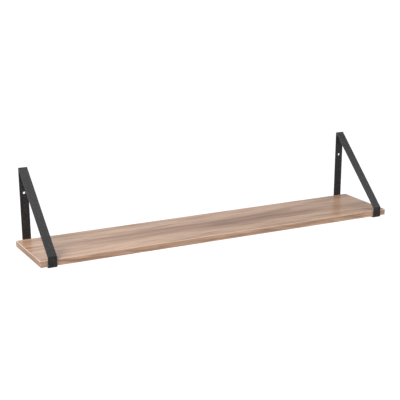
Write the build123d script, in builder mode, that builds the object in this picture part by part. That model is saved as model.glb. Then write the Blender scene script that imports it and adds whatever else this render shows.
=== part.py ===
from build123d import *
import math
import os

# Wall shelf: an edge-banded board held in two closed flat-bar brackets.
# In millimetres: X runs along the shelf, +Y points into the wall and +Z is up.
# The wall is the plane Y = 0. The origin lies midway between the two wall holes.

# Board
board_length = 1100.0
board_depth = 210.0
core_thickness = 17.0
laminate_thickness = 0.5
band_thickness = 2.0
edge_rounding = 1.8

# Flat bar of the brackets
bar_width = 25.0
bar_thickness = 3.0
bend_inside_radius = 1.0
bar_edge_rounding = 0.4

# Bracket shape, measured from the board's top
bracket_rise = 206.0
crease_rise = 9.5
wall_hole_rise = 132.0

# Bracket details
bracket_inset = 32.5
wall_hole_diameter = 7.0
weld_outside_radius = 2.0
weld_inside_radius = 3.0

# Fits
board_clearance = 0.5
screw_hole_clearance = 0.5
screw_tip_clearance = 1.0

# Pan-head wood screws that hold the board, driven from below
screw_length = 16.0
thread_diameter = 4.0
root_diameter = 2.8
thread_pitch = 1.8
crest_width = 0.2
point_length = 4.0
head_diameter = 7.6
head_height = 2.6
head_crown_radius = 1.4
recess_span = 4.2
recess_width = 1.0
recess_depth = 1.4
screw_inset = 45.0

# Places that follow from the sizes
board_thickness = core_thickness + 2 * laminate_thickness
board_top = -wall_hole_rise
board_bottom = board_top - board_thickness
board_back = -bar_thickness
board_front = board_back - board_depth
board_mid_y = (board_back + board_front) / 2
board_mid_z = (board_top + board_bottom) / 2
bracket_front = board_front - board_clearance - bar_thickness
bracket_bottom = board_bottom - bar_thickness
bracket_top = board_top + bracket_rise
crease_height = board_top + crease_rise
bracket_x = board_length / 2 - bracket_inset
core_length = board_length - 2 * band_thickness
screw_ys = (board_back - screw_inset, board_front + screw_inset)
screw_places = [(x, y) for x in (-bracket_x, bracket_x) for y in screw_ys]


def rounded_board(piece):
    # adds the whole board, with every outside edge rounded, to the piece being built
    with Locations((0, board_mid_y, board_mid_z)):
        Box(board_length, board_depth, board_thickness)
    fillet(piece.edges(), edge_rounding)


def keep_between(x_span, y_span, z_span):
    # keeps only what lies inside these spans of the piece being built
    middle = [(low + high) / 2 for low, high in (x_span, y_span, z_span)]
    with Locations(tuple(middle)):
        Box(*[high - low for low, high in (x_span, y_span, z_span)], mode=Mode.INTERSECT)


def drill_for_screws(diameter, top):
    # cuts a hole for each board screw, from the board's underside up to the given height
    with BuildSketch(Plane.XY.offset(board_bottom)) as holes:
        with Locations(*screw_places):
            Circle(diameter / 2)
    extrude(holes.sketch, amount=top - board_bottom, mode=Mode.SUBTRACT)


# Spans of the board's layers and bands
full_x = (-board_length / 2, board_length / 2)
core_x = (-core_length / 2, core_length / 2)
core_y = (board_front + band_thickness, board_back - band_thickness)
full_z = (board_bottom, board_top)
core_z = (board_bottom + laminate_thickness, board_top - laminate_thickness)

# Particle-board core, with blind pilot holes for the board screws
with BuildPart() as board_core:
    rounded_board(board_core)
    keep_between(core_x, core_y, core_z)
    drill_for_screws(thread_diameter, bracket_bottom + screw_length + screw_tip_clearance)
board_core.part.label = "board_core"

# Decor sheets on both faces, trimmed flush with the core
with BuildPart() as top_laminate:
    rounded_board(top_laminate)
    keep_between(core_x, core_y, (core_z[1], board_top))
top_laminate.part.label = "top_laminate"

with BuildPart() as bottom_laminate:
    rounded_board(bottom_laminate)
    keep_between(core_x, core_y, (board_bottom, core_z[0]))
    drill_for_screws(thread_diameter, core_z[0])
bottom_laminate.part.label = "bottom_laminate"

# Edge bands. The long ones run the full length and cover the ends of the short ones
with BuildPart() as front_edge_band:
    rounded_board(front_edge_band)
    keep_between(full_x, (board_front, core_y[0]), full_z)
front_edge_band.part.label = "front_edge_band"

with BuildPart() as back_edge_band:
    rounded_board(back_edge_band)
    keep_between(full_x, (core_y[1], board_back), full_z)
back_edge_band.part.label = "back_edge_band"

with BuildPart() as left_edge_band:
    rounded_board(left_edge_band)
    keep_between((full_x[0], core_x[0]), core_y, full_z)
left_edge_band.part.label = "left_edge_band"

with BuildPart() as right_edge_band:
    rounded_board(right_edge_band)
    keep_between((core_x[1], full_x[1]), core_y, full_z)
right_edge_band.part.label = "right_edge_band"

# Brackets. Seen from the side, the bar is a closed four-sided loop: up the wall,
# down the diagonal, down over the board's front edge and back under the board
with BuildSketch() as loop_shape:
    with BuildLine():
        Polyline(
            (0, bracket_bottom),
            (0, bracket_top),
            (bracket_front, crease_height),
            (bracket_front, bracket_bottom),
            close=True,
        )
    make_face()

with BuildSketch() as loop_outside:
    add(loop_shape.sketch)
    fillet(loop_outside.vertices().sort_by(Axis.Y)[-1], weld_outside_radius)
    bend_corners = loop_outside.vertices().sort_by(Axis.Y)[:3]
    fillet(bend_corners, bend_inside_radius + bar_thickness)

with BuildSketch() as loop_inside:
    add(loop_shape.sketch)
    offset(amount=-bar_thickness, kind=Kind.INTERSECTION)
    fillet(loop_inside.vertices().sort_by(Axis.Y)[-1], weld_inside_radius)
    bend_corners = loop_inside.vertices().sort_by(Axis.Y)[:3]
    fillet(bend_corners, bend_inside_radius)


def bent_bar(piece, middle_x):
    # makes the piece a bracket centred on X = middle_x: the closed loop, then its holes
    with BuildSketch(Plane.YZ.offset(middle_x - bar_width / 2)) as loop:
        add(loop_outside.sketch)
        add(loop_inside.sketch, mode=Mode.SUBTRACT)
    extrude(loop.sketch, amount=bar_width)
    fillet(piece.faces().filter_by(Axis.X).edges(), bar_edge_rounding)
    with BuildSketch(Plane.XZ) as wall_hole:
        with Locations((middle_x, 0)):
            Circle(wall_hole_diameter / 2)
    extrude(wall_hole.sketch, amount=bar_thickness, mode=Mode.SUBTRACT)
    with BuildSketch(Plane.XY.offset(bracket_bottom)) as screw_holes:
        with Locations(*[(middle_x, y) for y in screw_ys]):
            Circle((thread_diameter + screw_hole_clearance) / 2)
    extrude(screw_holes.sketch, amount=bar_thickness, mode=Mode.SUBTRACT)


with BuildPart() as left_bracket:
    bent_bar(left_bracket, -bracket_x)
left_bracket.part.label = "left_bracket"

with BuildPart() as right_bracket:
    bent_bar(right_bracket, bracket_x)
right_bracket.part.label = "right_bracket"

# Board screw, head down and point up, with its head's seat at height 0.
# The thread is a row of rings with the real crest, root and pitch
thread_start = bar_thickness + laminate_thickness
thread_end = screw_length - point_length
thread_turns = math.floor((thread_end - thread_start) / thread_pitch)
shank_side = [(0, 0), (root_diameter / 2, 0)]
for turn in range(thread_turns):
    turn_start = thread_start + turn * thread_pitch
    crest_middle = turn_start + thread_pitch / 2
    shank_side.append((root_diameter / 2, turn_start))
    shank_side.append((thread_diameter / 2, crest_middle - crest_width / 2))
    shank_side.append((thread_diameter / 2, crest_middle + crest_width / 2))
shank_side.append((root_diameter / 2, thread_start + thread_turns * thread_pitch))
shank_side.append((root_diameter / 2, thread_end))
shank_side.append((0, screw_length))

with BuildPart() as screw_blank:
    with Locations((0, 0, -head_height / 2)):
        Cylinder(head_diameter / 2, head_height)
    fillet(screw_blank.edges().sort_by(Axis.Z)[0], head_crown_radius)
    with Locations((0, 0, -head_height)):
        Box(recess_span, recess_width, 2 * recess_depth, mode=Mode.SUBTRACT)
        Box(recess_width, recess_span, 2 * recess_depth, mode=Mode.SUBTRACT)
    with BuildSketch(Plane.XZ):
        with BuildLine():
            Polyline(*shank_side, close=True)
        make_face()
    revolve(axis=Axis.Z)

with BuildPart() as board_screws:
    with Locations(*[(x, y, bracket_bottom) for x, y in screw_places]):
        add(screw_blank.part)
board_screws.part.label = "board_screws"

# One file for each sub-part, named by its label
os.makedirs("parts", exist_ok=True)
finished = [
    board_core,
    top_laminate,
    bottom_laminate,
    front_edge_band,
    back_edge_band,
    left_edge_band,
    right_edge_band,
    left_bracket,
    right_bracket,
    board_screws,
]
for piece in finished:
    export_step(piece.part, f"parts/{piece.part.label}.step")
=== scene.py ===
import math
import bpy
from mathutils import Euler, Matrix, Vector


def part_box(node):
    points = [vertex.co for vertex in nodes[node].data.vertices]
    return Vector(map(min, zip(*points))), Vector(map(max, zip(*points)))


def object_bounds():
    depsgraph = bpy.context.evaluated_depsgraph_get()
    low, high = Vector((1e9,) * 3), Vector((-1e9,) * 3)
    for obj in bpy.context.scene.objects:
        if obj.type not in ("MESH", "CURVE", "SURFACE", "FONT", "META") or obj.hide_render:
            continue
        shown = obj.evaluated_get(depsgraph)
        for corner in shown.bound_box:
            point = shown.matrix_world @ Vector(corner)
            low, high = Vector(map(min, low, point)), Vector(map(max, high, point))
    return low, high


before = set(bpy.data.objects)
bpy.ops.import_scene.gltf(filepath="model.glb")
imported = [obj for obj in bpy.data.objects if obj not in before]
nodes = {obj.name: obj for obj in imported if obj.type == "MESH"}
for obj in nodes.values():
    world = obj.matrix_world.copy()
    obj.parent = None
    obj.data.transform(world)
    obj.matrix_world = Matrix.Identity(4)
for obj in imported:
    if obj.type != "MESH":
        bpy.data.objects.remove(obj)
cadLow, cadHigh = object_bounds()
shelfMiddle = (cadLow + cadHigh) / 2
scene = bpy.context.scene
scene.view_settings.view_transform = "Standard"
white = (1, 1, 1, 1)

print("camera")
lookFrom = {
    "azimuth": -27.01,  # degrees, minus is to the left of straight on
    "elevation": 18.89,
    "roll": -0.20,
    "distance": 2.971,  # metres
    "lens": 92.81,  # millimetres, as is the sensor's width
    "sensor": 36,
    "farthest": 60,  # metres
    "aim": (-0.0573, -0.0503, -0.2069),  # off the shelf's middle
    "rise": 0.175,  # lens shift, so the shelf sits in the middle of the frame
}


def addCamera(look):
    turn = Euler((math.radians(90 - look["elevation"]), 0, math.radians(look["azimuth"]))).to_matrix()
    turn = turn @ Matrix.Rotation(math.radians(look["roll"]), 3, "Z")
    data = bpy.data.cameras.new("shelfCamera")
    data.lens = look["lens"]
    data.shift_y = look["rise"]
    data.sensor_width = look["sensor"]
    data.clip_end = look["farthest"]
    camera = bpy.data.objects.new("shelfCamera", data)
    camera.rotation_euler = turn.to_euler()
    back = turn @ Vector((0, 0, 1))
    camera.location = shelfMiddle + Vector(look["aim"]) + back * look["distance"]
    scene.collection.objects.link(camera)
    scene.camera = camera


addCamera(lookFrom)


# shader maths: a Wire is one output socket, and sums written on it add Math nodes
class Wire:
    def __init__(self, finish, socket):
        self.finish = finish
        self.socket = socket

    def math(self, operation, *values):
        return self.finish.add("Math", {"operation": operation}, *values)

    def __add__(self, other):
        return self.math("ADD", self, other)

    def __radd__(self, other):
        return self.math("ADD", other, self)

    def __sub__(self, other):
        return self.math("SUBTRACT", self, other)

    def __rsub__(self, other):
        return self.math("SUBTRACT", other, self)

    def __mul__(self, other):
        return self.math("MULTIPLY", self, other)

    def __rmul__(self, other):
        return self.math("MULTIPLY", other, self)

    def __truediv__(self, other):
        return self.math("DIVIDE", self, other)

    def __rtruediv__(self, other):
        return self.math("DIVIDE", other, self)

    def __pow__(self, other):
        return self.math("POWER", self, other)

    def __rpow__(self, other):
        return self.math("POWER", other, self)

    def __abs__(self):
        return self.math("ABSOLUTE", self)

    def fract(self):
        return self.math("FRACT", self)

    def ramp(self, low, high, start=0.0, end=1.0):  # smooth step from start to end
        settings = {"interpolation_type": "SMOOTHSTEP", "clamp": True}
        return self.finish.add("MapRange", settings, self, low, high, start, end)

    def mark(self, low, high, strength):  # nothing at low, full strength at high
        return self.ramp(low, high) * strength

    def output(self, name):
        return Wire(self.finish, self.socket.node.outputs[name])


class Finish:
    def __init__(self, owner):
        owner.use_nodes = True
        self.tree = owner.node_tree
        self.tree.nodes.clear()

    def add(self, kind, settings, *values, **named):
        # settings first, then sockets by order or by name (underscores are spaces)
        node = self.tree.nodes.new("ShaderNode" + kind)
        for key, value in settings.items():
            setattr(node, key, value)
        inputs = [socket for socket in node.inputs if socket.enabled]
        byName = {socket.name: socket for socket in reversed(inputs)}
        pairs = list(zip(inputs, values))
        pairs += [(byName[key.replace("_", " ")], value) for key, value in named.items()]
        for socket, value in pairs:
            if isinstance(value, Wire):
                self.tree.links.new(value.socket, socket)
            else:
                socket.default_value = value
        shown = [socket for socket in node.outputs if socket.enabled]
        return Wire(self, shown[0]) if shown else None

    def mix(self, amount, first, second):  # two colours
        return self.add("Mix", {"data_type": "RGBA", "clamp_factor": True}, amount, first, second)

    def vector(self, operation, *values):
        return self.add("VectorMath", {"operation": operation}, *values)

    def position(self):  # metres, in the shelf's own frame
        return self.add("TexCoord", {}).output("Object")

    def split(self, vector):
        x = self.add("SeparateXYZ", {}, vector)
        return x, x.output("Y"), x.output("Z")

    def noise(self, at, size, detail=2.0, roughness=0.5):  # size of one blotch, in metres
        step = self.vector("DIVIDE", at, size)
        return self.add("TexNoise", {}, step, Scale=1.0, Detail=detail, Roughness=roughness)

    def surface(self, shader):
        self.add("OutputMaterial", {}, Surface=shader)


noiseMiddle = 0.5  # what a noise swings about


def newMaterial(name):
    material = bpy.data.materials.new(name)
    return material, Finish(material)


def dress(nodeName, material):  # gives a CAD node its finish
    for slot in nodes[nodeName].material_slots:
        slot.material = material


print("stage and light")
stageLook = {
    "floorDrop": 1.35,  # floor below the shelf, as it hangs on a wall
    "floorSize": 60.0,
    "floorColour": (0.9, 0.9, 0.9, 1),
    "floorRoughness": 0.9,
    "floorGlow": 0.85,
    "paleBehind": (0.55, 0.68, 0.74, 1),
    "dimInFront": (0.20, 0.20, 0.205, 1),
    "behind": (0.55, 1.0),  # where the pale screen starts, and where it is full
}


def addFloor(look):
    half = look["floorSize"] / 2
    height = cadLow.z - look["floorDrop"]
    corners = [(-half, -half, height), (half, -half, height), (half, half, height), (-half, half, height)]
    mesh = bpy.data.meshes.new("paleFloor")
    mesh.from_pydata(corners, [], [(0, 1, 2, 3)])
    floor = bpy.data.objects.new("paleFloor", mesh)
    scene.collection.objects.link(floor)
    material, finish = newMaterial("paleFloor")
    shader = finish.add(
        "BsdfPrincipled", {}, Base_Color=look["floorColour"], Roughness=look["floorRoughness"],
        Emission_Color=white, Emission_Strength=look["floorGlow"],
    )
    finish.surface(shader)
    mesh.materials.append(material)
    floor.visible_glossy = False


def addSurroundings(look):
    # pale screen behind the shelf, dim studio in front of it, and plain white where seen directly
    world = bpy.data.worlds.new("studio")
    scene.world = world
    finish = Finish(world)
    direction = finish.add("TexCoord", {}).output("Generated")
    towardsWall = finish.split(direction)[1]
    colour = finish.mix(towardsWall.ramp(*look["behind"]), look["dimInFront"], look["paleBehind"])
    seen = finish.add("LightPath", {})
    background = finish.add("Background", {}, Color=finish.mix(seen, colour, white))
    finish.add("OutputWorld", {}, Surface=background)


softBoxes = {  # metres from the shelf's middle, degrees about the upright (the aim turns too), watts
    "overheadBox": {"at": (-1.5, -0.2, 1.6), "size": (1.4, 1.4), "turn": 0, "power": 29},
    "stripBox": {"at": (1.3, -0.52, 1.8), "size": (3.0, 0.6), "turn": -84, "power": 22},
    "sideBox": {"at": (-2.2, -0.9, 1.7), "size": (1.8, 1.8), "turn": 0, "power": 34},
    "frontBox": {"at": (2.2, -3.2, 0.3), "size": (1.6, 1.6), "turn": 0, "power": 12},
}


def addSoftBox(name, look):
    data = bpy.data.lights.new(name, "AREA")
    data.shape = "RECTANGLE"
    data.size, data.size_y = look["size"]
    data.energy = look["power"]
    light = bpy.data.objects.new(name, data)
    light.location = shelfMiddle + Vector(look["at"])
    facing = Vector(look["at"]).to_track_quat("Z", "Y").to_matrix()
    light.rotation_euler = (Matrix.Rotation(math.radians(look["turn"]), 3, "Z") @ facing).to_euler()
    scene.collection.objects.link(light)


addFloor(stageLook)
addSurroundings(stageLook)
for name, look in softBoxes.items():
    addSoftBox(name, look)

print("board")
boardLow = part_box("bottom_laminate")[0]
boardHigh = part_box("top_laminate")[1]
boardMiddle = (boardLow + boardHigh) / 2
halfThickness = (boardHigh.z - boardLow.z) / 2
alongX, alongY, alongZ = 0, 1, 2

decor = {
    "pale": (0.75, 0.485, 0.342, 1),
    "tan": (0.62, 0.380, 0.254, 1),
    "mauve": (0.35, 0.177, 0.108, 1),  # heartwood stripe
    "dark": (0.205, 0.103, 0.062, 1),  # rings, streaks and pores
    "olive": (0.42, 0.29, 0.16, 1),  # faint cast between the streaks
    "trim": (0.90, 0.70, 0.56, 1),  # painted highlight where the bands are rounded off
    "highlightDepth": 0.0022,  # metres down from the face
    "highlightFade": 0.5,  # where it is full, as a part of its depth
    "highlightStrength": 0.3,
    # noises of the print: size along the grain and across it in metres, and 1.0 to keep the cut
    "wander": {"size": (0.4, 0.25, 1.0), "detail": 1.0},
    "shake": {"size": (0.14, 0.012, 1.0), "detail": 3.0},
    "shade": {"size": (0.22, 0.02, 1.0), "detail": 3.0},
    "stain": {"size": (0.4, 0.03, 1.0), "detail": 2.0},
    "figure": {"size": (0.20, 0.013, 1.0), "detail": 2.0, "roughness": 0.6},
    "streak": {"size": (0.13, 0.007, 1.0), "detail": 3.0, "roughness": 0.6},
    "fine": {"size": (0.05, 0.0012, 1.0), "detail": 2.0, "roughness": 0.6},
    "pore": {"size": (0.006, 0.0004, 1.0), "detail": 2.0, "roughness": 0.6},
    # where a noise or ring starts to show, and where it is full
    "stainSpan": (0.38, 0.68),
    "poreSpan": (0.60, 0.72),
    "lateWood": (0.2, 0.85),
    "ringEnd": (1.0, 0.9),
    # the same, then how strongly it colours the print
    "oliveMark": (0.62, 0.40, 0.25),
    "figureMark": (0.50, 0.62, 0.34),
    "streakMark": (0.50, 0.66, 0.55),
    "fineMark": (0.45, 0.75, 0.3),
    "poreStrength": 0.3,
    "heartWander": 0.05,  # metres, as is the stripe's
    "stripeWander": 0.03,
    # the stripe's two sides and its ends, as parts of its half width and its reach
    "sharpSide": (1.0, 0.6),
    "softSide": (1.3, 0.4),
    "stripeFade": 0.3,
    "stripeShade": (0.2, 0.55, 0.5, 1.0),  # span of the noise, then the stripe's strength over it
    "roughness": 0.26,
    "streakRoughness": 0.06,
    "poreRoughness": 0.15,
    "fineHeight": 0.3,
    "bump": {"Strength": 0.2, "Distance": 0.00005},
    "shine": {"IOR": 1.56, "Specular_IOR_Level": 0.5},
}
shadedEndDecor = {  # the short bands: darker with painted shade, less shiny, and with a stronger painted highlight along their rounded edges
    **decor,
    # painted shade: the end bands' colours are darker than the same print on the long bands
    "pale": (0.53, 0.325, 0.215, 1),
    "tan": (0.44, 0.25, 0.155, 1),
    "highlightStrength": 0.5,
    "shine": {"IOR": 1.56, "Specular_IOR_Level": 0.2},
}


def woodDecor(name, look, plank, along, across, cut):  # cut is the print's place in the log
    material, finish = newMaterial(name)
    place = finish.split(finish.vector("SUBTRACT", finish.position(), boardMiddle))
    lengthwise, crosswise = place[along], place[across]
    grain = finish.add("CombineXYZ", {}, lengthwise, crosswise, cut)
    wander, shake, shade, stain, figure, streak, fine, pore = [
        finish.noise(grain, **look[layer])
        for layer in ("wander", "shake", "shade", "stain", "figure", "streak", "fine", "pore")
    ]
    stain = stain.ramp(*look["stainSpan"])
    pore = pore.ramp(*look["poreSpan"])
    wander = wander - noiseMiddle
    shake = shake - noiseMiddle

    # growth rings: long arches about a heart that wanders and dives
    fromHeart = crosswise + look["heartWander"] * wander - plank["heart"]
    dive = lengthwise * plank["slope"] + plank["dive"]
    radius = (fromHeart * fromHeart + dive * dive) ** 0.5 + shake * plank["shake"]
    ring = (radius / plank["ringStep"]).fract()
    late = ring.ramp(*look["lateWood"]) * ring.ramp(*look["ringEnd"])

    # the dark heartwood stripe
    half, reach = plank["stripeHalf"], plank["stripeReach"]
    sharpFrom, sharpTo = look["sharpSide"]
    softFrom, softTo = look["softSide"]
    off = crosswise + look["stripeWander"] * wander - plank["stripeAt"] - lengthwise * plank["stripeTilt"]
    stripe = off.ramp(half * sharpFrom, half * sharpTo) * off.ramp(-half * softFrom, -half * softTo)
    stripe = stripe * abs(lengthwise - plank["stripeMiddle"]).ramp(reach, reach * look["stripeFade"])
    stripe = stripe * shade.ramp(*look["stripeShade"])

    colour = finish.mix(stain, look["pale"], look["tan"])
    colour = finish.mix(streak.mark(*look["oliveMark"]), colour, look["olive"])
    colour = finish.mix(stripe * plank["stripeStrength"], colour, look["mauve"])
    for amount in (
        late * plank["ringStrength"],
        figure.mark(*look["figureMark"]),
        streak.mark(*look["streakMark"]),
        fine.mark(*look["fineMark"]),
        pore * look["poreStrength"],
    ):
        colour = finish.mix(amount, colour, look["dark"])
    # painted highlight: paler colour along the bands' rounded edges next to the top and bottom faces,
    # where the rounding catches the light
    if plank["trimmed"]:
        toFace = halfThickness - abs(place[alongZ])
        trim = toFace.mark(look["highlightDepth"], look["highlightDepth"] * look["highlightFade"], look["highlightStrength"])
        colour = finish.mix(trim, colour, look["trim"])
    rough = look["roughness"] + look["streakRoughness"] * streak + look["poreRoughness"] * pore
    bump = finish.add("Bump", {}, Height=fine * look["fineHeight"] - pore, **look["bump"])
    shader = finish.add(
        "BsdfPrincipled", {}, Base_Color=colour, Roughness=rough, Normal=bump, **look["shine"]
    )
    finish.surface(shader)
    return material


faceGrain = {  # lengths in metres, places from the board's middle
    "heart": -0.02,
    "slope": 0.035,
    "dive": 0.02,
    "ringStep": 0.012,
    "shake": 0.007,
    "ringStrength": 0.2,
    "stripeAt": -0.007,
    "stripeTilt": 0.015,
    "stripeHalf": 0.037,
    "stripeMiddle": -0.02,
    "stripeReach": 0.54,
    "stripeStrength": 0.85,
    "trimmed": False,
}
edgeGrain = {
    "heart": 0.0,
    "slope": 0.05,
    "dive": 0.006,
    "ringStep": 0.005,
    "shake": 0.004,
    "ringStrength": 0.3,
    "stripeAt": 0.0,
    "stripeTilt": 0.0,
    "stripeHalf": 0.012,
    "stripeMiddle": -0.3,
    "stripeReach": 0.5,
    "stripeStrength": 0.35,
    "trimmed": True,
}
dress("top_laminate", woodDecor("topDecor", decor, faceGrain, alongX, alongY, cut=0.3))
dress("bottom_laminate", woodDecor("backingDecor", decor, faceGrain, alongX, alongY, cut=7.1))
dress("front_edge_band", woodDecor("frontBandDecor", decor, edgeGrain, alongX, alongZ, cut=2.4))
dress("back_edge_band", woodDecor("backBandDecor", decor, edgeGrain, alongX, alongZ, cut=5.2))
# the end bands take the copy darkened with painted shade
dress("left_edge_band", woodDecor("leftBandShadedDecor", shadedEndDecor, edgeGrain, alongY, alongZ, cut=3.6))
dress("right_edge_band", woodDecor("rightBandShadedDecor", shadedEndDecor, edgeGrain, alongY, alongZ, cut=9.8))

core = {
    "chipSize": (0.004, 0.003, 0.0012),
    "brown": (0.42, 0.28, 0.16, 1),
    "straw": (0.70, 0.53, 0.34, 1),
    "roughness": 0.85,
    "bump": {"Strength": 0.5, "Distance": 0.0003},
}


def chipBoard(look):
    material, finish = newMaterial("pressedChips")
    step = finish.vector("DIVIDE", finish.position(), look["chipSize"])
    chips = finish.add("TexVoronoi", {}, step, Scale=1.0)
    shade = finish.add("SeparateColor", {}, chips.output("Color"))
    colour = finish.mix(shade, look["brown"], look["straw"])
    bump = finish.add("Bump", {}, Height=chips, **look["bump"])
    finish.surface(
        finish.add("BsdfPrincipled", {}, Base_Color=colour, Roughness=look["roughness"], Normal=bump)
    )
    return material


dress("board_core", chipBoard(core))

print("brackets")
coat = {
    "colour": (0.0162, 0.0158, 0.0163, 1),
    "speckAndEdgeSheen": (0.060, 0.058, 0.057, 1),  # the coat's fine specks, and a painted highlight along the bar's side edges, where the coat is thin
    "dust": (0.052, 0.048, 0.048, 1),
    # sizes in metres
    "cloud": {"size": (0.05, 0.05, 0.05), "detail": 3.0},
    "speckle": {"size": (0.0011, 0.0011, 0.0011), "detail": 2.0},
    "mottle": {"size": (0.005, 0.005, 0.005), "detail": 2.0, "roughness": 0.6},
    # where it starts to show, where it is full, and how strongly it colours the coat
    "edgeHighlightMark": (0.0012, 0.0, 0.6),
    "speckleMark": (0.45, 0.70, 0.4),
    "mottleMark": (0.42, 0.62, 0.5),
    "roughness": 0.37,
    "cloudRoughness": 0.08,
    "mottleRoughness": 0.3,
    "gloss": 0.32,
    "bump": {"Strength": 0.35, "Distance": 0.00008},
}


def powderCoat(look):
    material, finish = newMaterial("blackPowderCoat")
    at = finish.position()
    cloud, speckle, mottle = [finish.noise(at, **look[layer]) for layer in ("cloud", "speckle", "mottle")]
    low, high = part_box("right_bracket")
    halfWidth = (high.x - low.x) / 2
    # painted highlight: lighter along the bar's two side edges, where the coat is also thin
    toSide = halfWidth - abs(abs(finish.split(at)[0]) - (low.x + high.x) / 2)
    colour = finish.mix(toSide.mark(*look["edgeHighlightMark"]), look["colour"], look["speckAndEdgeSheen"])
    colour = finish.mix(speckle.mark(*look["speckleMark"]), colour, look["speckAndEdgeSheen"])
    colour = finish.mix(mottle.mark(*look["mottleMark"]), colour, look["dust"])
    rough = look["roughness"] + look["cloudRoughness"] * (cloud - noiseMiddle)
    rough = rough + look["mottleRoughness"] * (mottle - noiseMiddle)
    bump = finish.add("Bump", {}, Height=speckle, **look["bump"])
    shader = finish.add(
        "BsdfPrincipled", {}, Base_Color=colour, Roughness=rough,
        Specular_IOR_Level=look["gloss"], Normal=bump,
    )
    finish.surface(shader)
    return material


blackCoat = powderCoat(coat)
dress("left_bracket", blackCoat)
dress("right_bracket", blackCoat)

print("screws")
zinc = {
    "dull": (0.50, 0.50, 0.48, 1),
    "bright": (0.72, 0.71, 0.66, 1),
    "spangle": {"size": (0.0015, 0.0015, 0.0015), "detail": 3.0},
    "roughness": 0.25,
    "spangleRoughness": 0.2,
}


def zincPlate(look):
    material, finish = newMaterial("zincPlate")
    spangle = finish.noise(finish.position(), **look["spangle"])
    colour = finish.mix(spangle, look["dull"], look["bright"])
    rough = look["roughness"] + look["spangleRoughness"] * spangle
    finish.surface(finish.add("BsdfPrincipled", {}, Base_Color=colour, Metallic=1.0, Roughness=rough))
    return material


dress("board_screws", zincPlate(zinc))

print("finish")
